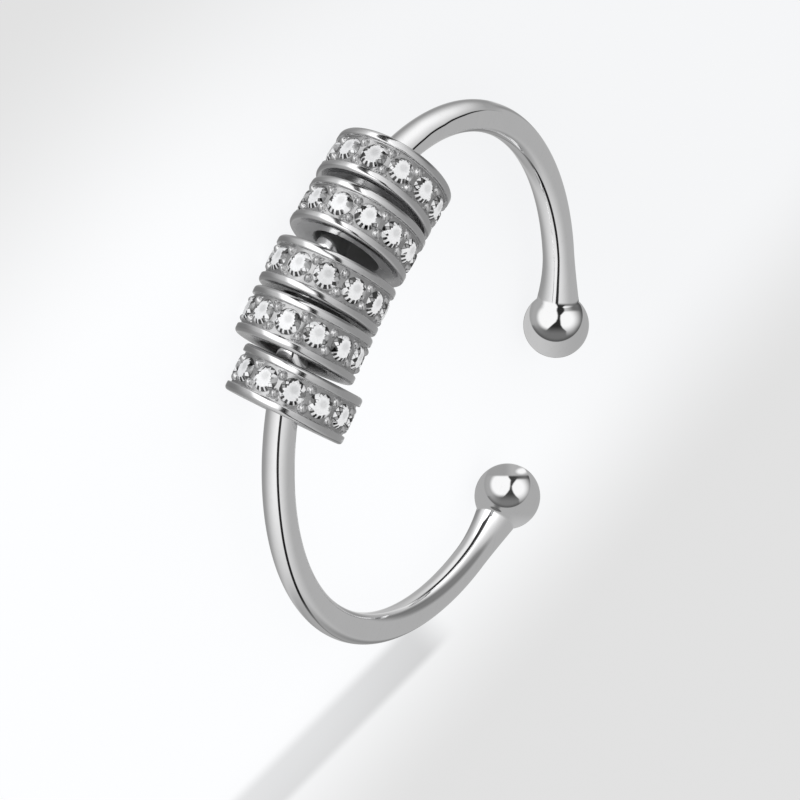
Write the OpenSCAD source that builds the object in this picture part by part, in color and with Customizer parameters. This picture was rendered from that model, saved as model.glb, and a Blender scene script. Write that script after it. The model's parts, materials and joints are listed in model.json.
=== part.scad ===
// Open spinner ring, lying on its side on a flat surface.
// A round wire band ends in two balls, and five stone-set beads run loose on it.
// The origin is on the surface, under the middle of the band. +Z is up, the beads lie
// towards -Y and the mouth between the balls opens towards +Y.

/* [Band] */
// Inner diameter of the band, which is the finger size
inner_d = 17.6; // [16:0.1:20]
// Thickness of the round wire
wire_d = 1.15; // [1:0.05:1.4]
// Diameter of the two end balls
ball_d = 2.4; // [2:0.1:2.8]
// Clear gap between the two end balls
mouth = 4; // [3:0.1:6]
// Radius of the hollow neck that joins the wire to a ball
neck_fillet = 3.2; // [1.5:0.1:3.5]
// How far the soldered skins run into each other
solder_sink = 0.02; // [0.01:0.005:0.03]
// Angle by which the mouth stands off the middle of the back
mouth_turn = -1.15; // [-5:0.05:5]

/* [Beads] */
// Outer diameter of a bead over its rims
bead_d = 4.5; // [4.2:0.05:5]
// Length of a bead along its axis
bead_w = 1.78; // [1.6:0.01:2.2]
// Diameter of the hole through a bead
bore_d = 2.5; // [2.3:0.05:2.6]
// Width of each plain rim
rim_w = 0.32; // [0.25:0.01:0.4]
// Depth of the channel between the rims
channel_depth = 0.12; // [0.06:0.01:0.2]
// Rounding of the outer edges of a rim
rim_round = 0.14; // [0.06:0.01:0.15]
// Depth of the shallow dish in each end face
dish_depth = 0.05; // [0.02:0.01:0.1]
// Bevel at both ends of the hole
bore_bevel = 0.06; // [0.02:0.01:0.1]
// Angle along the band of the middle bead, from the front
row_angle = 12.2; // [0:0.1:20]
// How high the beads sit on the wire, as a share of the play in their hole
lift_share = 0.54; // [0.4:0.01:0.6]

/* [Stones] */
// Number of stones round a bead
stones_per_bead = 12; // [10:1:12]
// Diameter of a stone at its girdle
stone_d = 0.95; // [0.8:0.01:0.97]
// Height of the crown, from girdle to table
crown_h = 0.14; // [0.1:0.01:0.18]
// Depth of the pavilion, from girdle to point
pavilion_h = 0.4; // [0.3:0.01:0.45]
// Thickness of the girdle
girdle_h = 0.03; // [0.02:0.005:0.05]
// Width of the table
table_d = 0.56; // [0.45:0.01:0.65]
// Depth of the tables under the edge of the rims
table_sink = 0.03; // [0.01:0.01:0.06]
// Clearance between a stone and its seat
seat_gap = 0.025; // [0.015:0.005:0.04]
// Depth of a seat's ledge under the girdle
seat_depth = 0.1; // [0.08:0.01:0.14]
// Diameter of a grain bead between two stones
grain_d = 0.28; // [0.2:0.01:0.3]
// Distance of a grain bead from the middle of the channel
grain_off = 0.34; // [0.3:0.01:0.38]

/* [Hidden] */
$fn = 64;
FACETS = 8;
// How far a cutting shape runs past the metal that it cuts
cut_past = 1;
wire_r = wire_d / 2;
ball_r = ball_d / 2;
ring_r = inner_d / 2 + wire_r;
bead_r = bead_d / 2;
bore_r = bore_d / 2;
play = bore_r - wire_r;
floor_r = bead_r - channel_depth;
face_r = bead_r - rim_round;
table_r = bead_r - table_sink;
girdle_r = table_r - crown_h;
dish_r = bead_r - rim_w;
seat_hole_r = stone_d / 2 * (1 - seat_depth / pavilion_h) + seat_gap;

// How far a bead can swing on the wire before the hole stops it
swing = atan(2 * play / bead_w);

// One row for each bead, from the far end of the row to the near one:
// turn off the wire and lean towards the surface, both as shares of the swing,
// shift away from the ring's middle as a share of the play,
// gap to the next bead as a share of the bead's length, angle of the first stone
BEADS = [
    [-0.362, 0.070, -0.06, 0.018, -11.4],
    [-0.152, 0.097, -0.42, 0.095, -5.6],
    [-0.011, 0.137, -0.09, 0.032, 2.1],
    [0.231, 0.148, 0.51, 0.014, -12.8],
    [0.484, 0.225, 0.25, 0, -0.2]
];
MIDDLE = floor(len(BEADS) / 2);
function turn(i) = BEADS[i][0] * swing;
function lean(i) = BEADS[i][1] * swing;
function reach(i) = ring_r + BEADS[i][2] * play;
function gap_after(i) = BEADS[i][3] * bead_w;
function phase(i) = BEADS[i][4];

// Angle along the band between two neighbours, so that their inner edges keep their gap
function step_angle(i) =
    let (
        t = (turn(i) + turn(i + 1)) / 2,
        l = (lean(i) + lean(i + 1)) / 2,
        closing = (turn(i + 1) - turn(i)) * PI / 180,
        tipping = (lean(i + 1) - lean(i)) * PI / 180,
        run = (reach(i) + reach(i + 1)) / 2 * cos(t) * cos(l) - face_r,
        room = bead_w + gap_after(i) + (reach(i) - reach(i + 1)) * sin(t) - face_r * closing,
        fan = room / run - closing,
        extra = face_r * (sqrt(fan * fan + tipping * tipping) - fan)
    )
    (room + extra) / run * 180 / PI;
function place(i) =
    i == MIDDLE ? row_angle
    : i < MIDDLE ? place(i + 1) + step_angle(i)
    : place(i - 1) - step_angle(i - 1);

// Height of a bead's middle when its lowest rim touches the surface
function axis_z(i) = (bead_r - rim_round) * cos(lean(i)) + rim_round
    + (bead_w / 2 - rim_round) * sin(lean(i));

// The middle of each ball lies on the arc of the wire, and its neck runs straight along the
// chord from there to the place where the wire comes out of it
hollow_r = wire_r + solder_sink + neck_fillet;
neck_len = sqrt(pow(ball_r - solder_sink + neck_fillet, 2) - pow(hollow_r, 2));
neck_turn = asin(neck_len / 2 / ring_r);
mouth_half = asin((mouth / 2 + ball_r) / ring_r);

// Angle from the middle of the mouth to the end of the wire, halfway along the neck
arc_end = mouth_half + neck_turn;

// The band lies on its balls at the back and is carried by the beads at the front
front_z = bead_r - lift_share * play;
back_y = ring_r * cos(mouth_half - abs(mouth_turn));
band_tilt = asin((front_z - ball_r) / (ring_r + back_y));
band_z = ball_r + back_y * sin(band_tilt);

// Put children in the band's own frame, with the front of the wire at -Y
module in_band() {
    translate([0, 0, band_z]) rotate([-band_tilt, 0, 0]) children();
}

// The end of the wire on the left: a ball and its hollow neck, turned as one piece
module band_end() {
    rotate([0, 0, mouth_half]) translate([0, ring_r, 0]) rotate([0, -90, neck_turn])
        rotate_extrude() {
            intersection() {
                circle(r = ball_r);
                translate([0, -ball_r]) square([ball_r, 2 * ball_r]);
            }
            difference() {
                polygon([[0, 0], [hollow_r, neck_len], [0, neck_len]]);
                translate([hollow_r, neck_len]) circle(r = neck_fillet);
            }
        }
}

module band() {
    color("silver") in_band() rotate([0, 0, mouth_turn]) {
        rotate([0, 0, 90 + arc_end]) rotate_extrude(angle = 360 - 2 * arc_end)
            translate([ring_r, 0]) circle(r = wire_r);
        for (s = [0, 1]) mirror([s, 0, 0]) band_end();
    }
}

// Put children on bead i, with the bead's axis along their Z
module on_bead(i) {
    translate([-reach(i) * sin(place(i)), -reach(i) * cos(place(i)), axis_z(i)])
        rotate([0, 0, -place(i) - turn(i)]) rotate([0, 90 + lean(i), 0]) children();
}

// Put children at each stone, with Z outwards along the stone's own axis
module at_stones(shift = 0) {
    for (k = [0:stones_per_bead - 1])
        rotate([0, 0, (k + shift) * 360 / stones_per_bead]) rotate([0, 90, 0]) children();
}

// Half section of a bead: two rims with rounded outer edges and the channel floor
module bead_profile() {
    half_w = bead_w / 2;
    difference() {
        union() {
            translate([bore_r, -half_w]) square([face_r - bore_r, bead_w]);
            for (s = [-1, 1]) {
                y0 = s > 0 ? half_w - rim_w : -half_w;
                translate([bore_r, y0 + rim_round])
                    square([bead_r - bore_r, rim_w - 2 * rim_round]);
                for (y = [y0 + rim_round, y0 + rim_w - rim_round])
                    translate([face_r, y]) circle(r = rim_round);
            }
        }
        translate([floor_r, rim_w - half_w]) square([bead_r, bead_w - 2 * rim_w]);
        for (s = [0, 1]) mirror([0, s]) {
            polygon([
                [bore_r - cut_past, half_w + cut_past],
                [bore_r - cut_past, half_w - dish_depth],
                [bore_r + bore_bevel, half_w - dish_depth],
                [dish_r, half_w],
                [dish_r, half_w + cut_past]
            ]);
            polygon([
                [bore_r - cut_past, half_w - dish_depth - bore_bevel - cut_past],
                [bore_r, half_w - dish_depth - bore_bevel],
                [bore_r + bore_bevel, half_w - dish_depth],
                [bore_r - cut_past, half_w]
            ]);
        }
    }
}

// Seat for one stone: a counterbore for its girdle over a drilled hole for its point
module seat() {
    ledge = girdle_r - girdle_h - seat_depth;
    point = girdle_r - girdle_h - pavilion_h - seat_gap;
    translate([0, 0, ledge]) cylinder(r = stone_d / 2 + seat_gap, h = bead_r);
    translate([0, 0, point]) cylinder(r = seat_hole_r, h = bead_r);
}

module bead(i) {
    color("silver") on_bead(i) rotate([0, 0, phase(i)]) {
        difference() {
            rotate_extrude() bead_profile();
            at_stones() seat();
        }
        at_stones(0.5) for (s = [-1, 1])
            translate([s * grain_off, 0, floor_r - grain_d / 8]) sphere(d = grain_d);
    }
}

// Points of the brilliant cut: table, star points, both edges of the girdle, culet
function ring_points(n, r, z, shift) =
    [for (k = [0:n - 1]) [r * cos((k + shift) * 360 / n), r * sin((k + shift) * 360 / n), z]];

module brilliant() {
    r = stone_d / 2;
    star_r = table_d / 2 + (r - table_d / 2) * 0.5;
    star_z = girdle_r + crown_h * 0.58;
    points = concat(
        ring_points(FACETS, table_d / 2, girdle_r + crown_h, 0.5),
        ring_points(FACETS, star_r, star_z, 0),
        ring_points(2 * FACETS, r, girdle_r, 0),
        ring_points(2 * FACETS, r, girdle_r - girdle_h, 0),
        [[0, 0, girdle_r - girdle_h - pavilion_h]]
    );
    star = FACETS;
    upper = 2 * FACETS;
    lower = 4 * FACETS;
    culet = 6 * FACETS;
    faces = concat(
        [[for (k = [FACETS - 1:-1:0]) k]],
        [for (k = [0:FACETS - 1]) [k, star + (k + 1) % FACETS, (k + 1) % FACETS]],
        [for (k = [0:FACETS - 1]) [k, upper + 2 * k + 1, star + (k + 1) % FACETS]],
        [for (k = [0:FACETS - 1]) [k, star + k, upper + 2 * k + 1]],
        [for (k = [0:FACETS - 1]) [star + k, upper + 2 * k, upper + 2 * k + 1]],
        [for (k = [0:FACETS - 1]) [star + (k + 1) % FACETS, upper + 2 * k + 1, upper + (2 * k + 2) % (2 * FACETS)]],
        [for (k = [0:2 * FACETS - 1]) [upper + k, lower + k, lower + (k + 1) % (2 * FACETS)]],
        [for (k = [0:2 * FACETS - 1]) [upper + k, lower + (k + 1) % (2 * FACETS), upper + (k + 1) % (2 * FACETS)]],
        [for (k = [0:2 * FACETS - 1]) [lower + k, culet, lower + (k + 1) % (2 * FACETS)]]
    );
    polyhedron(points, faces);
}

module stones(i) {
    color("white") on_bead(i) rotate([0, 0, phase(i)]) at_stones() brilliant();
}

band();
bead(0);  // bead_1
stones(0);  // stones_1
bead(1);  // bead_2
stones(1);  // stones_2
bead(2);  // bead_3
stones(2);  // stones_3
bead(3);  // bead_4
stones(3);  // stones_4
bead(4);  // bead_5
stones(4);  // stones_5
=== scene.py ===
"""Open spinner ring of polished silver, lying on its side on a pale table.

A round-wire band ends in two balls, and five stone-set beads spin loose on it. The band, the
beads and the stones are surfaces worked out from profiles; sizes are in millimetres until a
mesh is made.
"""

import json
import math

import bpy
import numpy as np
from mathutils import Matrix, Vector


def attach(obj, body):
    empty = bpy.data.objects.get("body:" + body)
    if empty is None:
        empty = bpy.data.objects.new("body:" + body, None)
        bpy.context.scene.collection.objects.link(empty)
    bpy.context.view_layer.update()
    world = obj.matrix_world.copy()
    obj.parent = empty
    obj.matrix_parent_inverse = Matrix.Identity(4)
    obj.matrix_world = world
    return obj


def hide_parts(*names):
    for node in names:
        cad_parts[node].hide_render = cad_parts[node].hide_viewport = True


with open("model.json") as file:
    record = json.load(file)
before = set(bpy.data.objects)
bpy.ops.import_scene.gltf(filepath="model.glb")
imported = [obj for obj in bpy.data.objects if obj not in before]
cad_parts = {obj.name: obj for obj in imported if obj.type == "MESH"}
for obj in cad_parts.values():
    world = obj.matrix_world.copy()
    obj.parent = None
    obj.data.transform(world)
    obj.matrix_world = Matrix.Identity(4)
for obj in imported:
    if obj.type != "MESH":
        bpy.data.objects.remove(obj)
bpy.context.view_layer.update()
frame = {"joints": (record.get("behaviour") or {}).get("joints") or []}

MM = 0.001

# Band
WIRE_R = 0.575
RING_R = 9.375
BALL_R = 1.2
BAND_TILT = math.radians(2.1527)
BAND_Z = 1.5334
FIRST_BALL = math.radians(18.8)
LAST_BALL = math.radians(338.9)
NECK_START = 2.9
NECK_END = 0.91
NECK_FLARE = 0.205
NECK_POWER = 1.8
FILLET = 0.05
LAST_BALL_SPRUNG = 0.12
SPRUNG_LENGTH = 8.0

# Card bent round each end ball: its radius, how near the neck it is cut away and is whole again,
# in degrees, and how far off it is still mirrored
CARD_R = 1.35
CARD_CUT = 36.0
CARD_CLEAR = 44.0
BALL_CARD_SIGHT = 0.9

# What each card shows, as the ball mirrors it. A place on the ball is given by how far it lies
# to the right and to the top of the ball's middle, in ball radii.
#   ring: height of its middle, and its radius
#   gap: its two edges at each height
#   foot: its darkest and its palest tone, and the heights where it has them
#   left, right: middle of a white box, and half its width and height
#   top: height where the right box ends
#   outside: tone beyond the ring, and what is added to it at the right and at the foot
#   cap: 1 with a grey cap and its bright spot above the boxes, 0 without
UPPER_CARD = {
    "ring": (0.284, 0.825),
    "gap": [
        # height, left edge, right edge
        (-0.2, -0.34, 0.32), (-0.1, -0.24, 0.21), (0.0, -0.13, 0.15), (0.1, -0.01, 0.14),
        (0.2, 0.04, 0.13), (0.3, 0.05, 0.14), (0.4, 0.03, 0.24), (0.5, -0.02, 0.34),
    ],
    "foot": (0.025, 0.17, -0.02, -0.3),
    "left": (-0.22, 0.24, 0.36, 0.38),
    "right": (0.3, 0.18, 0.36, 0.37),
    "top": 0.44,
    "outside": (0.58, -0.16, 0.0),
    "cap": 0.0,
}
LOWER_CARD = {
    "ring": (0.357, 0.73),
    "gap": [
        (-0.1, -0.22, 0.36), (0.0, -0.1, 0.26), (0.1, -0.01, 0.19), (0.2, 0.06, 0.15),
        (0.3, 0.08, 0.14), (0.4, 0.085, 0.19), (0.5, 0.1, 0.27), (0.6, 0.03, 0.34),
    ],
    "foot": (0.05, 0.2, 0.1, -0.2),
    "left": (-0.2, 0.36, 0.33, 0.36),
    "right": (0.3, 0.25, 0.34, 0.36),
    "top": 0.54,
    "outside": (0.42, 0.0, 0.1),
    "cap": 1.0,
}

# Card over the arm next to the first bead: how far it stands off, how far off it is still
# mirrored, and what it shows across the arm at each angle round the ring
ARM_CARD_OFF = 2.0
ARM_CARD_SIGHT = 1.3 * ARM_CARD_OFF
ARM_CARD = [
    # angle in degrees, black line's middle, its half width, brightest place, its brightness
    (91.0, 0.5, 0.0, 0.55, 0.36), (98.9, 0.29, 0.005, 0.5, 0.36), (102.1, 0.17, 0.03, 0.52, 0.47),
    (105.4, 0.06, 0.045, 0.48, 0.65), (108.6, -0.06, 0.055, 0.38, 0.76), (111.9, -0.15, 0.055, 0.3, 0.88),
    (113.7, -0.19, 0.06, 0.3, 0.92), (116.5, -0.29, 0.06, 0.28, 0.95), (119.2, -0.32, 0.06, 0.28, 0.99),
    (121.9, -0.36, 0.06, 0.3, 1.01), (124.5, -0.43, 0.06, 0.25, 1.02), (131.0, -0.52, 0.06, 0.2, 1.02),
]

# Bead
BEAD_R = 2.25
BEAD_HALF = 0.89
BORE_R = 1.25
RIM_W = 0.32
RIM_ROUND = 0.14
FLOOR_R = 2.13
DISH_R = 1.93
DISH_DEPTH = 0.05
BORE_BEVEL = 0.06
CHANNEL_HALF = BEAD_HALF - RIM_W

# Stones
STONES = 12
PITCH = 2 * math.pi / STONES
STONE_R = 0.475
TABLE_R = 0.315
TABLE_LEVEL = 2.225
GIRDLE_LEVEL = 2.085
GIRDLE_H = 0.02
PAVILION_H = 0.39
SEAT_GAP = 0.012

# Grains between two stones: half length round the bead, half width and rise, then the place off
# the middle of the gap and off the middle of the channel. A large one stands at each side of the
# channel, and two small burrs stand beyond it.
GRAIN = (0.17, 0.18, 0.14)
GRAIN_OFF = 0.345
BURR = (0.055, 0.055, 0.05)
BURR_OFF = (0.175, 0.465)

# Angle of the first stone of each bead round its own axis
FIRST_STONE = {
    "spinner_1": -11.4,
    "spinner_2": -5.6,
    "spinner_3": 2.1,
    "spinner_4": -12.8,
    "spinner_5": -0.2,
}

# Camera: where it stands, and how far it is turned about its own line of sight
CAMERA_ELEVATION = math.radians(30.593)
CAMERA_ROLL = math.radians(-105.79)
CAMERA_DISTANCE = 300.0
CAMERA_LENS = 380.3
AIM_RIGHT = -0.7738
AIM_UP = -0.9644


def view_axes():
    """Unit vectors to the right, to the top and back to the eye, of the camera turned by its roll."""
    c, s = math.cos(CAMERA_ELEVATION), math.sin(CAMERA_ELEVATION)
    back = np.array([0.0, -c, s])
    level = np.array([1.0, 0.0, 0.0])
    rise = np.array([0.0, s, c])
    right = math.cos(CAMERA_ROLL) * level - math.sin(CAMERA_ROLL) * rise
    top = math.sin(CAMERA_ROLL) * level + math.cos(CAMERA_ROLL) * rise
    return right, top, back


RIGHT, TOP, BACK = view_axes()

# The band leans back on its two balls, about its own middle
LEAN = np.array([
    [1, 0, 0],
    [0, math.cos(BAND_TILT), math.sin(BAND_TILT)],
    [0, -math.sin(BAND_TILT), math.cos(BAND_TILT)],
])
BAND_MIDDLE = np.array([0, 0, BAND_Z])


# Meshes

def smooth_step(x, low, high):
    """0 below low, 1 above high, and the cubic 3t^2 - 2t^3 between them."""
    t = np.clip((x - low) / (high - low), 0, 1)
    return t * t * (3 - 2 * t)


def add_mesh(name, points, faces, flat=False, masks=None):
    """Object from points in millimetres and lists of faces, turned so that its faces point outwards."""
    points = np.asarray(points, float) * MM
    fans = np.concatenate([
        np.stack([f[:, 0], f[:, k], f[:, k + 1]], 1)
        for f in faces for k in range(1, f.shape[1] - 1)
    ])
    about = points - points.mean(0)
    a, b, c = (about[fans[:, i]] for i in range(3))
    if np.einsum("ij,ij->i", a, np.cross(b, c)).sum() < 0:
        faces = [f[:, ::-1] for f in faces]
    mesh = bpy.data.meshes.new(name)
    mesh.from_pydata(points.tolist(), [], [row for f in faces for row in f.tolist()])
    if flat:
        mesh.shade_flat()
    else:
        mesh.shade_smooth()
    for label, values in (masks or {}).items():
        layer = mesh.attributes.new(label, "FLOAT", "POINT")
        layer.data.foreach_set("value", np.asarray(values, np.float32).ravel())
    mesh.update()
    piece = bpy.data.objects.new(name, mesh)
    bpy.context.scene.collection.objects.link(piece)
    return piece


def grid_quads(rows, columns, wrap_rows=False, wrap_columns=True):
    """Quads of a grid of points, whose last row or column may be joined to its first."""
    index = np.arange(rows * columns).reshape(rows, columns)
    if wrap_rows:
        index = np.concatenate([index, index[:1]])
    if wrap_columns:
        index = np.concatenate([index, index[:, :1]], 1)
    corners = [index[:-1, :-1], index[1:, :-1], index[1:, 1:], index[:-1, 1:]]
    return np.stack(corners, -1).reshape(-1, 4)


def rounded_outline(corners, radii, steps):
    """Open outline with each inner corner replaced by an arc of its own radius.

    The arc's middle lies on the bisector of the corner, at radius / sin(half the corner's angle),
    and its points turn evenly from one touching point to the other.
    """
    p = np.asarray(corners, float)
    r = np.asarray(radii, float)[:, None]
    u = p[:-2] - p[1:-1]
    v = p[2:] - p[1:-1]
    u /= np.linalg.norm(u, axis=1, keepdims=True)
    v /= np.linalg.norm(v, axis=1, keepdims=True)
    half = np.arccos(np.clip((u * v).sum(1, keepdims=True), -1, 1)) / 2
    middle = p[1:-1] + (u + v) / np.linalg.norm(u + v, axis=1, keepdims=True) * r / np.sin(half)
    first = p[1:-1] + u * r / np.tan(half) - middle
    last = p[1:-1] + v * r / np.tan(half) - middle
    sweep = (math.pi - 2 * half)[:, None, :]
    s = np.linspace(0, 1, steps)[None, :, None]
    arc = (np.sin((1 - s) * sweep) * first[:, None] + np.sin(s * sweep) * last[:, None]) / np.sin(sweep)
    return np.concatenate([p[:1], (arc + middle[:, None]).reshape(-1, 2), p[-1:]])


# Band

def round_band(angle):
    """Unit vectors outwards and forwards on the band's circle at each angle, before it leans."""
    level = np.zeros_like(angle)
    out = np.stack([-np.sin(angle), np.cos(angle), level], -1)
    forward = np.stack([-np.cos(angle), -np.sin(angle), level], -1)
    return out, forward


def band_section():
    """Half outline of one end of the band, as (distance along the middle line, radius).

    It runs from the far pole of the ball, t = -R cos(a), radius = R sin(a), over a small solder
    fillet to the neck, whose radius is the wire's plus a flare that falls with a power of the
    distance from the ball, to the place where the plain wire starts.
    """
    meet = math.acos(-(NECK_END - FILLET) / BALL_R)
    a = np.linspace(0, meet, 44)
    ball = np.stack([-BALL_R * np.cos(a), BALL_R * np.sin(a)], 1)
    t = NECK_END + FILLET + (NECK_START - NECK_END - FILLET) * np.linspace(0, 1, 26) ** 1.3
    share = (NECK_START - t) / (NECK_START - NECK_END)
    neck = np.stack([t, WIRE_R + NECK_FLARE * share ** NECK_POWER], 1)
    s = np.linspace(0, 1, 7)[1:-1, None]
    crease = np.array([[NECK_END - 0.005, neck[0, 1] + 0.022]])
    fillet = (1 - s) ** 2 * ball[-1] + 2 * s * (1 - s) * crease + s ** 2 * neck[0]
    return np.concatenate([ball, fillet, neck])


def band_points():
    """The band's section carried along its middle line.

    The middle line is the circle of the wire, with straight tangents inside the two balls. Its
    last few millimetres spring outwards a little at one end.
    """
    end = band_section()
    first, last = RING_R * FIRST_BALL, RING_R * LAST_BALL
    wire = np.linspace(first + NECK_START, last - NECK_START, 420)[1:-1]
    along = np.concatenate([first + end[:, 0], wire, last - end[::-1, 0]])
    radius = np.concatenate([end[:, 1], np.full(len(wire), WIRE_R), end[::-1, 1]])

    held = np.clip(along, first + NECK_END, last - NECK_END)
    beyond = (along - held)[:, None]
    out, forward = round_band(held / RING_R)
    sprung = LAST_BALL_SPRUNG * smooth_step(along, last - SPRUNG_LENGTH, last)[:, None]
    middle = (RING_R + sprung) * out + beyond * forward

    turn = np.linspace(0, 2 * math.pi, 97)[None, :-1, None]
    ring = np.cos(turn) * out[:, None] + np.sin(turn) * np.array([0, 0, 1.0])
    points = middle[:, None] + radius[:, None, None] * ring
    return points @ LEAN.T + BAND_MIDDLE


def make_band():
    """The band as one closed skin, each ball's pole a single point with a fan of triangles."""
    points = band_points()
    rows, columns = points.shape[:2]
    inner = points[1:-1]
    quads = grid_quads(rows - 2, columns)
    count = (rows - 2) * columns
    around = np.arange(columns)
    after = np.roll(around, -1)
    last_row = count - columns
    start = np.stack([np.full(columns, count), around, after], 1)
    finish = np.stack([np.full(columns, count + 1), last_row + after, last_row + around], 1)
    vertices = np.concatenate([inner.reshape(-1, 3), points[:1, 0], points[-1:, 0]])
    piece = add_mesh("wire_band", vertices, [quads, start, finish])
    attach(piece, "band")
    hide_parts("band")
    return piece


# Beads

def bead_outline():
    """Half section of a bead outside its channel, as (radius, height along the axis).

    It starts at one edge of the channel floor, goes over the rim, the dished face and the hole,
    and ends at the other edge of the floor.
    """
    h, e = BEAD_HALF, CHANNEL_HALF
    corners = [
        (FLOOR_R, e), (BEAD_R, e), (BEAD_R, h), (DISH_R, h),
        (BORE_R + BORE_BEVEL, h - DISH_DEPTH), (BORE_R, h - DISH_DEPTH - BORE_BEVEL),
        (BORE_R, DISH_DEPTH + BORE_BEVEL - h), (BORE_R + BORE_BEVEL, DISH_DEPTH - h),
        (DISH_R, -h), (BEAD_R, -h), (BEAD_R, -e), (FLOOR_R, -e),
    ]
    radii = [0.05, RIM_ROUND, 0.3, 0.03, 0.03, 0.03, 0.03, 0.3, RIM_ROUND, 0.05]
    return rounded_outline(corners, radii, 8)


def channel_radius(turn, height, rng):
    """Radius of the channel between the rims, at angle turn and height along the bead's axis.

    The floor is a cylinder with a slight ripple. Each stone's seat is cut into it as a cone that
    follows the stone's own point, inside a short straight wall. In each gap between two stones,
    on both sides of the channel, stand a large grain and two burrs, of slightly uneven size and
    place: domes of height q ^ 0.8, where q = 1 - (x / a)^2 - (y / b)^2. Some burrs are missing.
    """
    near = (turn + PITCH / 2) % PITCH - PITCH / 2
    across = GIRDLE_LEVEL * np.sin(near)
    off = np.hypot(across, height)
    ripple = (np.sin(19 * turn + 5 * height) + np.sin(31 * turn - 9 * height + 1.3)) * 0.0025
    floor = FLOOR_R + ripple
    seat = (GIRDLE_LEVEL - GIRDLE_H - PAVILION_H * (1 - off / STONE_R) - SEAT_GAP) / np.cos(near)
    inside = 1 - smooth_step(off, STONE_R - 0.05, STONE_R - 0.025)
    radius = floor * (1 - inside) + np.minimum(seat, floor) * inside

    gap = (turn % PITCH) - PITCH / 2
    place = (turn // PITCH).astype(int) % STONES
    along = FLOOR_R * np.sin(gap)
    top = radius
    for side in (-1, 1):
        for kind in range(3):
            size = rng.uniform(0.88, 1.12, STONES)[place]
            tall = rng.uniform(0.9, 1.15, STONES)[place]
            slide = rng.uniform(-1, 1, STONES)[place]
            shift = rng.uniform(-1, 1, STONES)[place]
            if kind == 0:
                a, b, rise = GRAIN[0] * size, GRAIN[1] * size, GRAIN[2] * tall
                x0, y0 = 0.02 * slide, side * GRAIN_OFF + 0.02 * shift
            else:
                hand = 2 * kind - 3
                a, b, rise = BURR[0] * size, BURR[1] * size, BURR[2] * tall * (shift > -0.1)
                x0 = hand * BURR_OFF[0] + 0.012 * slide
                y0 = side * BURR_OFF[1] + 0.012 * shift
            q = 1 - ((along - x0) / a) ** 2 - ((height - y0) / b) ** 2
            root = 0.03
            dome = np.where(q > 0, FLOOR_R - root + (rise + root) * np.maximum(q, 0) ** 0.8, 0)
            top = np.maximum(top, dome)
    return top


def bead_frame(joint):
    """Centre of a bead in millimetres and its three axes, from the joint that it spins on."""
    a = np.array(joint["axis"], float)
    a /= np.linalg.norm(a)
    y = np.array([-a[1], a[0], 0.0])
    y /= np.linalg.norm(y)
    turn = math.radians(FIRST_STONE[joint["child"]])
    x = np.cross(y, a)
    axes = np.stack([
        math.cos(turn) * x + math.sin(turn) * y,
        math.cos(turn) * y - math.sin(turn) * x,
        a,
    ])
    return np.array(joint["pos_m"], float) / MM, axes


def make_bead(number, joint):
    """A bead: its closed outline turned about its axis, with the channel's relief on it.

    Its points carry three masks from 0 to 1: channel, hollow for the low places in the channel,
    which the material darkens as painted shade, and inward, which is a half on the dished faces
    and 1 in the hole.
    """
    rng = np.random.default_rng(40 + number)
    outline = bead_outline()
    heights = np.linspace(-CHANNEL_HALF, CHANNEL_HALF, 54)[1:-1]
    turn = np.linspace(0, 2 * math.pi, 601)[:-1]
    r = np.repeat(outline[:, :1], len(turn), 1)
    z = np.repeat(outline[:, 1:], len(turn), 1)
    channel = channel_radius(turn[None, :], heights[:, None], rng)
    ease = smooth_step(CHANNEL_HALF - np.abs(heights), 0.0, 0.03)[:, None]
    channel = FLOOR_R + (channel - FLOOR_R) * ease
    radius = np.concatenate([r, channel])
    height = np.concatenate([z, np.repeat(heights[:, None], len(turn), 1)])
    local = np.stack([radius * np.cos(turn), radius * np.sin(turn), height], -1)
    centre, axes = bead_frame(joint)
    points = (local @ axes + centre).reshape(-1, 3)

    in_channel = np.concatenate([np.zeros_like(r), np.ones_like(channel)])
    # hollow marks the channel's low places, which the material darkens as painted shade
    hollow = in_channel * np.clip((FLOOR_R + 0.06 - radius) / 0.1, 0, 1)
    on_rim = smooth_step(r, DISH_R - 0.04, DISH_R + 0.04)
    in_bore = 1 - smooth_step(r, BORE_R + 0.01, BORE_R + BORE_BEVEL)
    inward = np.concatenate([(1 - on_rim) * 0.5 + in_bore * 0.5, np.zeros_like(channel)])
    quads = grid_quads(len(radius), len(turn), wrap_rows=True)
    piece = add_mesh(f"bead_shell_{number}", points, [quads],
                     masks={"hollow": hollow, "channel": in_channel, "inward": inward})
    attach(piece, joint["child"])
    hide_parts(f"bead_{number}")
    return piece


# Stones

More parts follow.
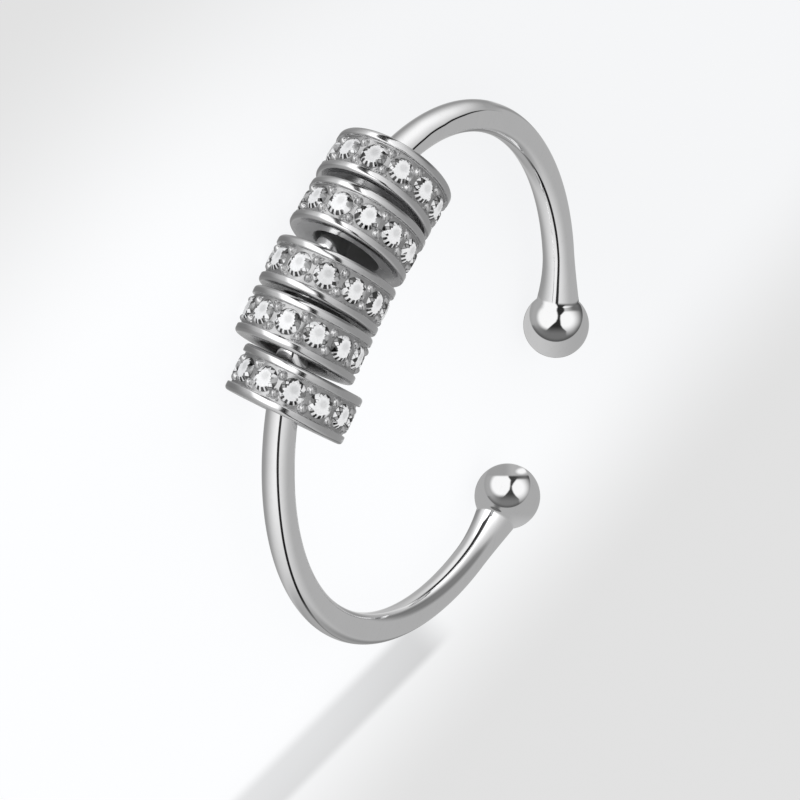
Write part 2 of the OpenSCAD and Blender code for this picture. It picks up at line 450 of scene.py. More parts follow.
def brilliant():
    """One round brilliant, its girdle's upper edge at height 0: vertices and lists of faces.

    Eight table corners, eight star points and sixteen girdle points make the crown; the star
    points lie on the planes of the eight main facets, at height
    crown * (R - r cos 22.5) / (R - table). Eight points below the girdle and the tip make the
    mains and halves of the pavilion in the same way.
    """
    eighth = math.pi / 4
    k = np.arange(8)
    crown = TABLE_LEVEL - GIRDLE_LEVEL
    side = math.cos(eighth / 2)
    star_r = TABLE_R * side + (STONE_R - TABLE_R * side) * 0.55
    star_z = crown * (STONE_R - star_r * side) / (STONE_R - TABLE_R)
    low_r = STONE_R * 0.22
    tip_z = -GIRDLE_H - PAVILION_H
    low_z = tip_z + PAVILION_H * low_r * side / STONE_R

    def ring(count, r, z, shift):
        a = (np.arange(count) + shift) * 2 * math.pi / count
        return np.stack([r * np.cos(a), r * np.sin(a), np.full(count, z)], 1)

    points = np.concatenate([
        ring(8, TABLE_R, crown, 0.5), ring(8, star_r, star_z, 0),
        ring(16, STONE_R, 0, 0), ring(16, STONE_R, -GIRDLE_H, 0),
        ring(8, low_r, low_z, 0), [[0, 0, tip_z]],
    ])
    star, upper, lower, low, tip = 8, 16, 32, 48, 56
    n = (k + 1) % 8
    j = np.arange(16)
    jn = (j + 1) % 16
    faces = [
        k[None, :],
        np.stack([star + n, n, k], 1),
        np.stack([k, star + k, upper + 2 * k + 1, star + n], 1),
        np.stack([star + k, upper + 2 * k, upper + 2 * k + 1], 1),
        np.stack([star + n, upper + 2 * k + 1, upper + (2 * k + 2) % 16], 1),
        np.stack([upper + j, lower + j, lower + jn, upper + jn], 1),
        np.stack([lower + 2 * k + 1, lower + 2 * k, low + k], 1),
        np.stack([lower + (2 * k + 2) % 16, lower + 2 * k + 1, low + n], 1),
        np.stack([lower + 2 * k + 1, low + k, np.full(8, tip), low + n], 1),
    ]
    return points, faces


def make_stones(number, joint):
    """Twelve brilliants in their seats, each spun about its own axis and tipped a little."""
    rng = np.random.default_rng(80 + number)
    points, faces = brilliant()
    spin = rng.uniform(0, math.pi / 4, STONES)
    tip = rng.uniform(-0.03, 0.03, (2, STONES))
    c, s = np.cos(spin)[:, None], np.sin(spin)[:, None]
    x = c * points[:, 0] - s * points[:, 1]
    y = s * points[:, 0] + c * points[:, 1]
    z = points[:, 2] + tip[0][:, None] * x + tip[1][:, None] * y
    a = (np.arange(STONES) * PITCH)[:, None]
    out = GIRDLE_LEVEL + z
    local = np.stack([out * np.cos(a) - y * np.sin(a), out * np.sin(a) + y * np.cos(a), -x], -1)
    centre, axes = bead_frame(joint)
    step = (np.arange(STONES) * len(points))[:, None, None]
    all_faces = [(f[None] + step).reshape(-1, f.shape[1]) for f in faces]
    cut = np.repeat(rng.uniform(0, 40, (STONES, 1)), len(points), 1)
    masks = {"along": -x / STONE_R, "round": y / STONE_R, "cut": cut}
    piece = add_mesh(f"stone_row_{number}", (local @ axes + centre).reshape(-1, 3), all_faces,
                     flat=True, masks=masks)
    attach(piece, joint["child"])
    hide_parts(f"stones_{number}")
    return piece


# Shaders

def add_node(tree, kind, **settings):
    """New node with its own settings, such as operation."""
    node = tree.nodes.new(kind)
    for key, value in settings.items():
        setattr(node, key, value)
    return node


def calc(tree, operation, *inputs):
    """Output of a Math node whose inputs are sockets or numbers."""
    node = add_node(tree, "ShaderNodeMath", operation=operation)
    for slot, value in zip(node.inputs, inputs):
        if isinstance(value, bpy.types.NodeSocket):
            tree.links.new(value, slot)
        else:
            slot.default_value = value
    return node.outputs[0]


def ramp(tree, value, low, high, start=0.0, end=1.0):
    """value mapped smoothly from low..high to start..end, and held outside."""
    node = add_node(tree, "ShaderNodeMapRange", interpolation_type="SMOOTHSTEP")
    tree.links.new(value, node.inputs["Value"])
    for name, number in (("From Min", low), ("From Max", high), ("To Min", start), ("To Max", end)):
        node.inputs[name].default_value = number
    return node.outputs["Result"]


def new_material(name):
    """New material with its node tree and its Principled shader."""
    material = bpy.data.materials.new(name)
    material.use_nodes = True
    shader = material.node_tree.nodes["Principled BSDF"]
    return material, material.node_tree, shader


def polish_group():
    """Polishing marks: faint cloudy rubbing and hair-fine scratches.

    Puts out a shade to multiply the metal's colour, a roughness and a height for a bump.
    """
    group = bpy.data.node_groups.new("polishing marks", "ShaderNodeTree")
    face = group.interface
    face.new_socket("Vector", in_out="INPUT", socket_type="NodeSocketVector")
    for label in ("Roughness", "Marks"):
        face.new_socket(label, in_out="INPUT", socket_type="NodeSocketFloat")
    for label in ("Shade", "Roughness", "Height"):
        face.new_socket(label, in_out="OUTPUT", socket_type="NodeSocketFloat")
    start = group.nodes.new("NodeGroupInput")
    end = group.nodes.new("NodeGroupOutput")
    cloud = add_node(group, "ShaderNodeTexNoise")
    cloud.inputs["Scale"].default_value = 900.0
    cloud.inputs["Detail"].default_value = 3.0
    group.links.new(start.outputs["Vector"], cloud.inputs["Vector"])
    stretch = add_node(group, "ShaderNodeMapping")
    stretch.inputs["Rotation"].default_value = (0.4, 0.7, 0.9)
    stretch.inputs["Scale"].default_value = (600.0, 9000.0, 9000.0)
    group.links.new(start.outputs["Vector"], stretch.inputs["Vector"])
    hair = add_node(group, "ShaderNodeTexNoise")
    hair.inputs["Scale"].default_value = 1.0
    hair.inputs["Detail"].default_value = 2.0
    group.links.new(stretch.outputs["Vector"], hair.inputs["Vector"])
    marks = start.outputs["Marks"]
    rub = ramp(group, cloud.outputs["Fac"], 0.35, 0.7, 0.0, 0.02)
    fine = ramp(group, hair.outputs["Fac"], 0.52, 0.72, 0.0, 0.035)
    both = calc(group, "MULTIPLY", calc(group, "ADD", rub, fine), marks)
    rough = calc(group, "ADD", start.outputs["Roughness"], both)
    shade = calc(group, "SUBTRACT", 1.0, calc(group, "MULTIPLY", both, 0.6))
    height = calc(group, "MULTIPLY", hair.outputs["Fac"], marks)
    for label, value in (("Roughness", rough), ("Shade", shade), ("Height", height)):
        group.links.new(value, end.inputs[label])
    return group


def use_polish(tree, group, roughness, marks):
    """The polishing marks placed in a material: their node, fed with Object coordinates."""
    node = add_node(tree, "ShaderNodeGroup", node_tree=group)
    place = add_node(tree, "ShaderNodeTexCoord")
    tree.links.new(place.outputs["Object"], node.inputs["Vector"])
    node.inputs["Roughness"].default_value = roughness
    node.inputs["Marks"].default_value = marks
    return node


def tint(tree, colour, shade):
    """A colour multiplied by a shade from 0 to 1."""
    mix = add_node(tree, "ShaderNodeMix", data_type="RGBA", blend_type="MULTIPLY")
    mix.inputs["Factor"].default_value = 1.0
    mix.inputs["A"].default_value = colour
    combine = add_node(tree, "ShaderNodeCombineColor")
    for name in ("Red", "Green", "Blue"):
        tree.links.new(shade, combine.inputs[name])
    tree.links.new(combine.outputs["Color"], mix.inputs["B"])
    return mix.outputs["Result"]


def add_bump(tree, height, shader, distance, strength):
    """Bump on the shader's normal; distance is in metres."""
    bump = add_node(tree, "ShaderNodeBump")
    bump.inputs["Distance"].default_value = distance
    bump.inputs["Strength"].default_value = strength
    tree.links.new(height, bump.inputs["Height"])
    tree.links.new(bump.outputs["Normal"], shader.inputs["Normal"])


def band_material(group):
    """Mirror-polished silver."""
    material, tree, shader = new_material("polished wire silver")
    shader.inputs["Metallic"].default_value = 1.0
    marks = use_polish(tree, group, 0.045, 1.0)
    colour = tint(tree, (0.93, 0.93, 0.935, 1), marks.outputs["Shade"])
    tree.links.new(colour, shader.inputs["Base Color"])
    tree.links.new(marks.outputs["Roughness"], shader.inputs["Roughness"])
    add_bump(tree, marks.outputs["Height"], shader, 0.0000003, 0.3)
    return material


def attribute(tree, name):
    """A mask that the piece's own points carry."""
    return add_node(tree, "ShaderNodeAttribute", attribute_name=name).outputs["Fac"]


def bead_material(group):
    """Silver that is bright on the rims, and duller in the channel and the hole, where painted shade
    darkens its colour, most of all in the channel's low places.
    """
    material, tree, shader = new_material("bead silver")
    marks = use_polish(tree, group, 0.13, 1.0)
    hollow, channel, inward = (attribute(tree, name) for name in ("hollow", "channel", "inward"))

    shade = marks.outputs["Shade"]
    # Painted shade: the colour is darkened in the channel's low places, a little across the channel, and
    # in the hole
    for part in (ramp(tree, hollow, 0.2, 1.0, 1.0, 0.4), ramp(tree, channel, 0.0, 1.0, 1.0, 0.9),
                 ramp(tree, inward, 0.5, 1.0, 1.0, 0.6)):
        shade = calc(tree, "MULTIPLY", shade, part)
    tree.links.new(tint(tree, (0.62, 0.62, 0.625, 1), shade), shader.inputs["Base Color"])

    faces = ramp(tree, inward, 0.0, 0.5, 1.0, 0.5)
    metal = calc(tree, "MULTIPLY", faces, ramp(tree, channel, 0.0, 1.0, 1.0, 0.85))
    tree.links.new(metal, shader.inputs["Metallic"])

    rough = marks.outputs["Roughness"]
    for mask, more in ((inward, 0.22), (channel, 0.08)):
        rough = calc(tree, "ADD", rough, calc(tree, "MULTIPLY", mask, more))
    tree.links.new(rough, shader.inputs["Roughness"])
    add_bump(tree, marks.outputs["Height"], shader, 0.0000004, 0.3)
    return material


# Lozenges of painted reflection round a stone, and how far its lines slant; painted black strokes for
# each radian of its fan
LOZENGES = 13
LOZENGE_SLANT = 2.6
FAN_STROKES = 2.1


def facet_group():
    """Painted reflections of a cut stone: its light and dark, seen from above its table, as a tone from 0
    to 1.

    Two families of lines, slanted one way and the other, cut the ring between the table and the
    edge into small lozenges, each a painted white, grey or black reflection. The table is a painted
    white reflection with faint rays, and on one side a fan of painted black strokes stands between
    white ones, and painted shade darkens the edge. Along and Round are the place on the stone in
    its radii, and Cut is a number of the stone's own.
    """
    group = bpy.data.node_groups.new("painted facet light", "ShaderNodeTree")
    for label in ("Along", "Round", "Cut"):
        group.interface.new_socket(label, in_out="INPUT", socket_type="NodeSocketFloat")
    group.interface.new_socket("Tone", in_out="OUTPUT", socket_type="NodeSocketFloat")
    start = group.nodes.new("NodeGroupInput")
    end = group.nodes.new("NodeGroupOutput")
    u, v, cut = (start.outputs[label] for label in ("Along", "Round", "Cut"))

    def run(operation, *inputs):
        return calc(group, operation, *inputs)

    def noise_at(x, y, z):
        place = add_node(group, "ShaderNodeCombineXYZ")
        for slot, value in zip(place.inputs, (x, y, z)):
            if isinstance(value, bpy.types.NodeSocket):
                group.links.new(value, slot)
            else:
                slot.default_value = value
        noise = add_node(group, "ShaderNodeTexWhiteNoise")
        group.links.new(place.outputs["Vector"], noise.inputs["Vector"])
        return noise.outputs["Value"]

    def distance(x, y):
        return run("SQRT", run("ADD", run("MULTIPLY", x, x), run("MULTIPLY", y, y)))

    def from_middle(value):
        """How far a value is from the middle between two whole numbers."""
        return run("ABSOLUTE", run("SUBTRACT", run("FRACT", value), 0.5))

    def mix(low, high, share):
        rest = run("SUBTRACT", 1.0, share)
        return run("ADD", run("MULTIPLY", low, rest), run("MULTIPLY", high, share))

    r = distance(u, v)
    angle = run("ARCTAN2", v, u)
    turn = run("MULTIPLY", angle, LOZENGES / (2 * math.pi))
    slant = run("MULTIPLY", r, LOZENGE_SLANT)
    one, two = run("ADD", turn, slant), run("SUBTRACT", turn, slant)
    chance = noise_at(run("FLOOR", one), run("FLOOR", two), run("FLOOR", cut))

    # Lozenges of painted reflection: more of them are black near the fan and in a corner opposite it
    near_fan = ramp(group, run("ABSOLUTE", angle), 0.75, 0.95, 1.0, 0.0)
    far_corner = ramp(group, run("ABSOLUTE", run("ADD", angle, 2.5)), 0.35, 0.7, 1.0, 0.0)
    more = run("ADD", run("MULTIPLY", near_fan, 0.1), run("MULTIPLY", far_corner, 0.2))
    black = run("ADD", 0.3, more)
    grey = run("ADD", black, 0.2)
    above_black = run("MULTIPLY", run("GREATER_THAN", chance, black), 0.35)
    lozenge = run("ADD", above_black, run("MULTIPLY", run("GREATER_THAN", chance, grey), 0.63))

    # Painted dark lines between the lozenges, thinner round the white ones
    from_line = run("MAXIMUM", from_middle(one), from_middle(two))
    from_line = run("SUBTRACT", from_line, ramp(group, chance, 0.55, 0.75, 0.0, 0.16))
    lozenge = run("MULTIPLY", lozenge, ramp(group, from_line, 0.33, 0.42, 1.0, 0.05))

    # Painted reflection: a fan of black strokes in a white sector
    stroke = from_middle(run("ADD", run("MULTIPLY", angle, FAN_STROKES), 0.15))
    wide = ramp(group, angle, -0.75, 0.3, 0.38, 0.25)
    reach = run("MULTIPLY", ramp(group, r, 0.64, 0.7), ramp(group, r, 0.93, 0.97, 1.0, 0.0))
    fan = run("MULTIPLY", run("LESS_THAN", stroke, wide), run("MULTIPLY", near_fan, reach))
    ring = run("MAXIMUM", lozenge, run("MULTIPLY", near_fan, 0.9))
    ring = run("MULTIPLY", ring, run("SUBTRACT", 1.0, fan))

    # Painted reflection: a grey patch beside the table
    off_patch = run("ABSOLUTE", run("ADD", angle, 1.75))
    patch = run("MULTIPLY", ramp(group, off_patch, 0.2, 0.4, 1.0, 0.0), ramp(group, r, 0.5, 0.56))
    patch_tone = run("ADD", 0.12, run("MULTIPLY", chance, 0.35))
    ring = mix(ring, patch_tone, patch)

    # Painted reflection on the table: white with small teeth at its edge, faint rays and a soft grey
    # cloud, wider opposite the fan
    teeth = run("PINGPONG", angle, math.pi / 16)
    from_tip = run("ADD", r, run("MULTIPLY", teeth, 0.45))
    far_side = ramp(group, run("ABSOLUTE", angle), 2.2, 2.8, 0.0, 0.2)
    on_table = run("LESS_THAN", from_tip, run("ADD", 0.62, far_side))
    sector = run("FLOOR", run("MULTIPLY", angle, 9.0))
    rays = noise_at(sector, run("FLOOR", run("MULTIPLY", r, 7.0)), cut)
    off_cloud = distance(run("ADD", u, 0.2), run("ADD", v, 0.05))
    grey_parts = run("ADD", run("MULTIPLY", rays, 0.12), ramp(group, off_cloud, 0.15, 0.45, 0.2, 0.0))
    tone = mix(ring, run("SUBTRACT", 1.0, grey_parts), on_table)
    # Painted shade: the stone's edge a little darker
    edge = ramp(group, r, 0.95, 1.0, 1.0, 0.7)
    group.links.new(run("MULTIPLY", tone, edge), end.inputs["Tone"])
    return group


def stone_material():
    """Cut crystal: its colour holds painted reflections, the light and dark that its facets send back,
    under their own hard gloss.
    """
    material, tree, shader = new_material("cut crystal")
    facets = add_node(tree, "ShaderNodeGroup", node_tree=facet_group())
    for label in ("Along", "Round", "Cut"):
        tree.links.new(attribute(tree, label.lower()), facets.inputs[label])
    colour = tint(tree, (0.985, 0.99, 1.0, 1), facets.outputs["Tone"])
    tree.links.new(colour, shader.inputs["Base Color"])
    shader.inputs["IOR"].default_value = 1.9
    place = add_node(tree, "ShaderNodeTexCoord")
    noise = add_node(tree, "ShaderNodeTexNoise")
    noise.inputs["Scale"].default_value = 4000.0
    tree.links.new(place.outputs["Object"], noise.inputs["Vector"])
    tree.links.new(ramp(tree, noise.outputs["Fac"], 0.4, 0.8, 0.02, 0.06), shader.inputs["Roughness"])
    return material


def use(piece, material):
    """Give a piece one material."""
    piece.data.materials.clear()
    piece.data.materials.append(material)


# Studio

def plateau(tree, value, low, rise, fall, high):
    """0 outside low..high and 1 between rise and fall, smooth between."""
    return calc(tree, "MULTIPLY", ramp(tree, value, low, rise), ramp(tree, value, fall, high, 1.0, 0.0))


# Brightness of the studio where it isn't mirrored
EVEN_LIGHT = 0.93


def make_studio():
    """World of the studio: what the metal and the stones mirror, and the even light on the table.

    A place in the studio is given by m and n, the parts to the right and to the top of the unit
    vector halfway between its direction and the direction back to the eye: a mirror whose normal
    has those parts shows that place. Long pale lights stand left and right of the lens in front
    of a grey wall, and a narrow dark gap parts the two sides.
    """
    world = bpy.data.worlds.new("studio")
    bpy.context.scene.world = world
    world.use_nodes = True
    tree = world.node_tree
    tree.nodes.clear()
    place = add_node(tree, "ShaderNodeTexCoord")
    halfway = add_node(tree, "ShaderNodeVectorMath", operation="ADD")
    tree.links.new(place.outputs["Generated"], halfway.inputs[0])
    halfway.inputs[1].default_value = tuple(BACK)
    unit = add_node(tree, "ShaderNodeVectorMath", operation="NORMALIZE")
    tree.links.new(halfway.outputs["Vector"], unit.inputs[0])

    def along(axis):
        node = add_node(tree, "ShaderNodeVectorMath", operation="DOT_PRODUCT")
        tree.links.new(unit.outputs["Vector"], node.inputs[0])
        node.inputs[1].default_value = tuple(axis)
        return node.outputs["Value"]

    def add(*parts):
        total = parts[0]
        for part in parts[1:]:
            total = calc(tree, "ADD", total, part)
        return total

    def times(*parts):
        total = parts[0]
        for part in parts[1:]:
            total = calc(tree, "MULTIPLY", total, part)
        return total

    def scaled(value, low, high, start, end):
        return ramp(tree, value, low, high, start, end)

    def mixed(low, high, share):
        return add(times(low, calc(tree, "SUBTRACT", 1.0, share)), times(high, share))

    m, n = along(RIGHT), along(TOP)
    r = calc(tree, "SQRT", add(times(m, m), times(n, n)))

    def from_spot(middle, radii):
        """Distance from the middle of an ellipse in the studio, 1 at its edge."""
        x, y = (calc(tree, "DIVIDE", calc(tree, "SUBTRACT", value, centre), radius)
                for value, centre, radius in zip((m, n), middle, radii))
        return calc(tree, "SQRT", add(times(x, x), times(y, y)))

    # Middle of the gap, which swings aside low down and high up
    middle = add(scaled(n, 0.12, 0.32, 0.03, -0.15),
                 times(calc(tree, "MAXIMUM", calc(tree, "SUBTRACT", n, 0.5), 0.0), 1.25),
                 times(scaled(n, -0.6, -0.3, 0.0, -0.09), scaled(n, -0.1, 0.1, 1.0, 0.0)))
    aside = calc(tree, "SUBTRACT", m, middle)

    # Grey wall, lighter at its far edge and darker at its foot
    wall = add(scaled(m, -0.95, -0.55, 0.32, 0.44), scaled(r, 0.985, 1.0, 0.0, 0.2))
    wall = times(wall, scaled(n, -0.88, -0.72, 0.45, 1.0))

    # Light left of the gap, and a white box in it
    fade_low = times(scaled(m, -0.88, -0.18, 0.0, 1.0), scaled(m, -0.02, 0.02, 1.0, 0.0))
    fade_high = times(scaled(aside, -0.62, -0.3, 0.0, 1.0), scaled(aside, 0.1, 0.4, 1.0, 0.0))
    fade_high = times(fade_high, scaled(r, 0.8, 0.95, 1.0, 0.2))
    level = add(scaled(n, -0.85, -0.4, 0.2, 0.5), scaled(n, 0.68, 0.85, 0.0, -0.12))
    left = times(mixed(fade_low, fade_high, scaled(n, 0.1, 0.3, 0.0, 1.0)), level)
    box = scaled(from_spot((-0.26, 0.28), (0.26, 0.38)), 0.7, 1.15, 1.5, 0.0)
    left = calc(tree, "MAXIMUM", left, box)

    # Light right of the gap
    fade = mixed(scaled(m, 0.0, 0.65, 1.0, 0.0), scaled(aside, 0.3, 0.62, 1.0, 0.0),
                 scaled(n, 0.25, 0.42, 0.0, 1.0))
    level = add(scaled(n, -0.85, -0.5, 0.16, 0.34), scaled(n, -0.1, 0.05, 0.0, 0.2),
                scaled(n, 0.62, 0.8, 0.0, -0.35))
    right = times(scaled(aside, 0.0, 0.05, 0.0, 1.0), fade, level)
    light = add(wall, left, right)

    # Dark gap, wider high up, and the screens that dim parts of both sides
    half = add(scaled(n, -0.05, 0.2, 0.07, 0.058), scaled(n, 0.42, 0.55, 0.0, 0.08),
               scaled(n, 0.68, 0.8, 0.0, -0.04))
    off = calc(tree, "SUBTRACT", calc(tree, "ABSOLUTE", aside), half)
    gap = times(scaled(off, -0.012, 0.012, 0.97, 0.0), plateau(tree, n, -0.93, -0.8, 0.78, 0.86),
                scaled(m, 0.3, 0.5, 1.0, 0.0))
    screen = scaled(from_spot((0.6, 0.38), (0.16, 0.3)), 0.5, 1.35, 0.52, 0.0)
    far = times(scaled(m, 0.3, 0.55, 0.0, 1.0), plateau(tree, n, 0.45, 0.65, 0.8, 0.95))
    edge = times(scaled(m, -0.85, -0.55, 1.0, 0.0), scaled(n, 0.05, 0.3, 0.0, 1.0))
    light = times(light, calc(tree, "SUBTRACT", 1.0, gap), calc(tree, "SUBTRACT", 1.0, screen),
                  scaled(far, 0.0, 1.0, 1.0, 0.72), scaled(edge, 0.0, 1.0, 1.0, 0.8))

    # Reflections see the studio, and everything else an even light
    path = add_node(tree, "ShaderNodeLightPath")
    plain = calc(tree, "MAXIMUM", path.outputs["Is Camera Ray"], path.outputs["Is Diffuse Ray"])
    pick = add_node(tree, "ShaderNodeMix", data_type="FLOAT")
    tree.links.new(plain, pick.inputs["Factor"])
    tree.links.new(light, pick.inputs["A"])
    pick.inputs["B"].default_value = EVEN_LIGHT
    shade = add_node(tree, "ShaderNodeBackground")
    tree.links.new(pick.outputs["Result"], shade.inputs["Color"])
    out = add_node(tree, "ShaderNodeOutputWorld")
    tree.links.new(shade.outputs["Background"], out.inputs["Surface"])


def card_tone(m, n, card):
    """Brightness of a card at the places (m, n) that the ball mirrors it at.

    Inside a ring, two white boxes with rounded outer sides stand left and right of a dark gap,
    above a foot that goes from black at the gap to grey. A grey cap with a bright spot may lie
    over their tops. Outside the ring the card is pale.
    """
    up, ring = card["ring"]
    off = np.hypot(m + 0.01, n - up) / ring
    height, left_edge, right_edge = np.array(card["gap"]).T
    low, high, dark_n, light_n = card["foot"]
    foot = low + (high - low) * smooth_step(-n, -dark_n, -light_n)
    tone = foot + (0.4 - foot) * smooth_step(-m, 0.15, 0.5) * smooth_step(n, -0.35, 0.1)
    tone += (0.15 - foot) * smooth_step(m, 0.2, 0.5) * smooth_step(n, -0.15, 0.1)
    rim = np.where((m < 0) & (n > 0), 0.12, 0.5)
    tone *= 1 - rim * smooth_step(off, 0.84, 1.0)

    m0, n0, wide, tall = card["left"]
    left = 1 - smooth_step(np.hypot(np.minimum(m - m0, 0) / wide, (n - n0) / tall), 0.8, 1.2)
    left *= 1 - smooth_step(m - np.interp(n, height, left_edge), -0.03, 0.03)
    m0, n0, wide, tall = card["right"]
    right = 1 - smooth_step(np.hypot(np.maximum(m - m0, 0) / wide, (n - n0) / tall), 0.5, 1.5)
    right *= smooth_step(m - np.interp(n, height, right_edge), -0.03, 0.03)
    right *= 1 - smooth_step(n, card["top"] - 0.05, card["top"] + 0.03)
    tone += (1.02 - tone) * np.maximum(left, right)

    spot = 1 - smooth_step(np.hypot((m - 0.45) / 0.17, (n - 0.77) / 0.09), 0.5, 1.4)
    cap = 0.36 + 0.1 * smooth_step(m, -0.1, 0.2) + 0.55 * spot
    tone += (cap - tone) * smooth_step(n, 0.6, 0.67) * card["cap"]
    pale, to_right, to_foot = card["outside"]
    outside = pale + to_right * smooth_step(m, -0.6, 0.7) + to_foot * smooth_step(-n, 0.5, 0.9)
    return tone + (outside - tone) * smooth_step(off, 0.975, 1.005)


def make_card(name, angle, radius, side, card):
    """Printed card bent round an end ball, seen only in the reflections of things close to it.

    Each point is where the eye's ray, mirrored by the ball, meets a sphere round the ball. The
    card is cut away round the neck.
    """
    out, forward = (v @ LEAN.T for v in round_band(np.array(angle)))
    centre = radius * out + BAND_MIDDLE
    neck = side * forward
    turn = np.linspace(0, 2 * math.pi, 241)[None, :-1]
    far = np.linspace(0.002, 0.99, 110)[:, None]
    m, n = far * np.cos(turn), far * np.sin(turn)
    z = np.sqrt(1 - m * m - n * n)
    normal = m[..., None] * RIGHT + n[..., None] * TOP + z[..., None] * BACK
    ray = 2 * z[..., None] * normal - BACK
    reach = np.sqrt((BALL_R * z) ** 2 + CARD_R ** 2 - BALL_R ** 2) - BALL_R * z
    points = BALL_R * normal + reach[..., None] * ray
    from_neck = np.degrees(np.arccos(np.clip(points @ neck / CARD_R, -1, 1)))
    cover = smooth_step(from_neck, CARD_CUT, CARD_CLEAR)
    piece = add_mesh(name, (points + centre).reshape(-1, 3), [grid_quads(*m.shape)],
                     masks={"cover": cover, "tone": card_tone(m, n, card)})
    print_card(piece, BALL_CARD_SIGHT)


def print_card(piece, sight):
    """Make a piece a printed card, glowing as its tone says.

    Only reflections of things nearer than sight see it.
    """
    for kind in ("camera", "diffuse", "shadow", "transmission", "volume_scatter"):
        setattr(piece, "visible_" + kind, False)
    material = bpy.data.materials.new("printed card")
    material.use_nodes = True
    tree = material.node_tree
    tree.nodes.clear()
    glow = add_node(tree, "ShaderNodeEmission")
    tree.links.new(attribute(tree, "tone"), glow.inputs["Strength"])
    length = add_node(tree, "ShaderNodeLightPath").outputs["Ray Length"]
    seen = calc(tree, "LESS_THAN", length, sight * MM)
    cover = calc(tree, "MULTIPLY", attribute(tree, "cover"), seen)
    mix = add_node(tree, "ShaderNodeMixShader")
    tree.links.new(cover, mix.inputs[0])
    tree.links.new(add_node(tree, "ShaderNodeBsdfTransparent").outputs[0], mix.inputs[1])
    tree.links.new(glow.outputs[0], mix.inputs[2])
    tree.links.new(mix.outputs[0], add_node(tree, "ShaderNodeOutputMaterial").inputs["Surface"])
    piece.data.materials.append(material)


def make_arm_card():
    """Printed card curved round the arm next to the first bead, seen as the ball cards are.

    u runs across the arm from -1 at its inner side to 1 at its outer side, as the eye sees it.
    Each point is where the eye's ray, mirrored by the wire at u, has gone ARM_CARD_OFF. A thin
    black line parts the plain inner side from a pale field. The field is brightest at its crest,
    fades towards the outer side, and glows more the nearer the bead is.
    """
    stations, *shown = np.array(ARM_CARD).T
    angle = np.linspace(stations[0], stations[-1], 90)
    line, half, crest, glow = (np.interp(angle, stations, values)[:, None] for values in shown)
    out, forward = (v @ LEAN.T for v in round_band(np.radians(angle)))
    front = BACK - (forward @ BACK)[:, None] * forward
    front /= np.linalg.norm(front, axis=1, keepdims=True)
    side = np.cross(forward, front)
    side *= np.sign((side * out).sum(1))[:, None]
    u = np.linspace(-0.6, 0.985, 160)[None, :]
    normal = u[..., None] * side[:, None] + np.sqrt(1 - u * u)[..., None] * front[:, None]
    ray = 2 * (normal @ BACK)[..., None] * normal - BACK
    points = (RING_R * out + BAND_MIDDLE)[:, None] + WIRE_R * normal + ARM_CARD_OFF * ray

    black = 1 - smooth_step(np.abs(u - line), half - 0.03, half + 0.03)
    near = 0.4 + 0.3 * (glow - 0.36)
    tone = near + (glow - near) * smooth_step(u, line, crest)
    tone += (0.3 - tone) * smooth_step(u, crest + 0.08, 0.9)
    tone += 0.12 * smooth_step(u, 0.88, 0.97)
    fade = smooth_step(angle, 91.0, 97.0)[:, None]
    cover = np.maximum(black, smooth_step(u, line - 0.01, line + 0.01)) * fade
    quads = grid_quads(*points.shape[:2], wrap_columns=False)
    piece = add_mesh("arm_card", points.reshape(-1, 3), [quads],
                     masks={"cover": cover, "tone": tone * (1 - black)})
    print_card(piece, ARM_CARD_SIGHT)


# Half the side of the table
TABLE_HALF = 1500.0


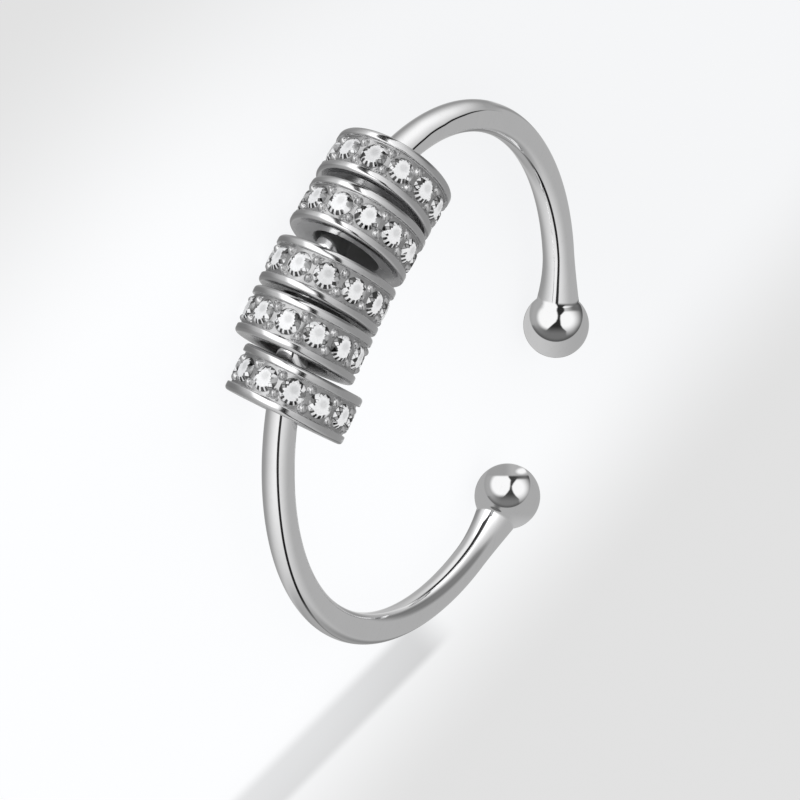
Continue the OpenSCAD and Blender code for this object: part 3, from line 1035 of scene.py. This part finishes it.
def make_table():
    """The pale table: one wide flat sheet that glows a little, lightest in a broad diagonal band of
    painted light.

    Distances across and along the band, and the same for a painted soft streak of shadow, are counted in
    widths of the picture.
    """
    half = TABLE_HALF * MM
    mesh = bpy.data.meshes.new("table_top")
    mesh.from_pydata([(-half, -half, 0), (half, -half, 0), (half, half, 0), (-half, half, 0)],
                     [], [[0, 1, 2, 3]])
    table = bpy.data.objects.new("table_top", mesh)
    bpy.context.scene.collection.objects.link(table)
    material, tree, shader = new_material("pale table")
    place = add_node(tree, "ShaderNodeTexCoord")

    def distance(x, y, start):
        node = add_node(tree, "ShaderNodeVectorMath", operation="DOT_PRODUCT")
        tree.links.new(place.outputs["Object"], node.inputs[0])
        node.inputs[1].default_value = (x, y, 0)
        return calc(tree, "ADD", node.outputs["Value"], start)

    across = distance(15.8, 16.03, 0.662)
    along = distance(-31.48, 8.04, -0.009)
    streak_across = distance(17.71, 15.54, 0.6735)
    streak_along = distance(29.15, -10.05, -0.0771)
    # Painted light: a broad band glows lighter than the rest, dimmed a little towards one end along it
    band = plateau(tree, across, 0.06, 0.41, 0.86, 1.08)
    dimmer = calc(tree, "MULTIPLY", band, ramp(tree, along, -0.1, 0.35, 0.0, 0.07))
    tone = calc(tree, "ADD", 0.665, calc(tree, "MULTIPLY", band, 0.235))
    tone = calc(tree, "SUBTRACT", tone, dimmer)
    # Painted shadow: a soft streak of shade across the table
    depth = calc(tree, "MULTIPLY", ramp(tree, streak_along, 0.07, 0.13),
                 ramp(tree, streak_along, 0.1, 0.3, 0.25, 0.2))
    streak = calc(tree, "MULTIPLY", plateau(tree, streak_across, 0.926, 0.944, 0.976, 0.99), depth)
    tone = calc(tree, "SUBTRACT", tone, streak)
    # The band's painted light is a touch bluish
    cool = add_node(tree, "ShaderNodeMix", data_type="RGBA")
    tree.links.new(band, cool.inputs["Factor"])
    cool.inputs["A"].default_value = (1.0, 1.0, 1.0, 1)
    cool.inputs["B"].default_value = (0.99, 0.998, 1.012, 1)
    colour = add_node(tree, "ShaderNodeVectorMath", operation="SCALE")
    tree.links.new(cool.outputs["Result"], colour.inputs["Vector"])
    tree.links.new(tone, colour.inputs["Scale"])
    # The table is lit by its own glow, which carries the band's painted light and the streak's painted
    # shadow
    tree.links.new(colour.outputs["Vector"], shader.inputs["Emission Color"])
    shader.inputs["Emission Strength"].default_value = 1.0
    shader.inputs["Base Color"].default_value = (0.1, 0.1, 0.1, 1)
    shader.inputs["Roughness"].default_value = 0.9
    shader.inputs["Specular IOR Level"].default_value = 0.0
    table.data.materials.append(material)
    table.visible_glossy = False


def make_camera():
    """Camera that looks along -BACK at a point near the middle of the band."""
    data = bpy.data.cameras.new("camera")
    data.lens = CAMERA_LENS
    data.sensor_width = 36.0
    data.clip_start = 0.05
    data.clip_end = 10.0
    camera = bpy.data.objects.new("camera", data)
    bpy.context.scene.collection.objects.link(camera)
    aim = BAND_MIDDLE + AIM_RIGHT * RIGHT + AIM_UP * TOP
    place = (aim + CAMERA_DISTANCE * BACK) * MM
    stand = Matrix(np.stack([RIGHT, TOP, BACK], 1).tolist())
    camera.matrix_world = Matrix.LocRotScale(Vector(place), stand.to_quaternion(), None)
    bpy.context.scene.camera = camera


bpy.context.scene.view_settings.view_transform = "Standard"
make_camera()
make_studio()
make_table()
make_card("upper_card", FIRST_BALL, RING_R, 1, UPPER_CARD)
make_card("lower_card", LAST_BALL, RING_R + LAST_BALL_SPRUNG, -1, LOWER_CARD)
make_arm_card()

polish = polish_group()
use(make_band(), band_material(polish))
bead_silver = bead_material(polish)
crystal = stone_material()
for joint in frame["joints"]:
    number = int(joint["child"].split("_")[1])
    use(make_bead(number, joint), bead_silver)
    use(make_stones(number, joint), crystal)
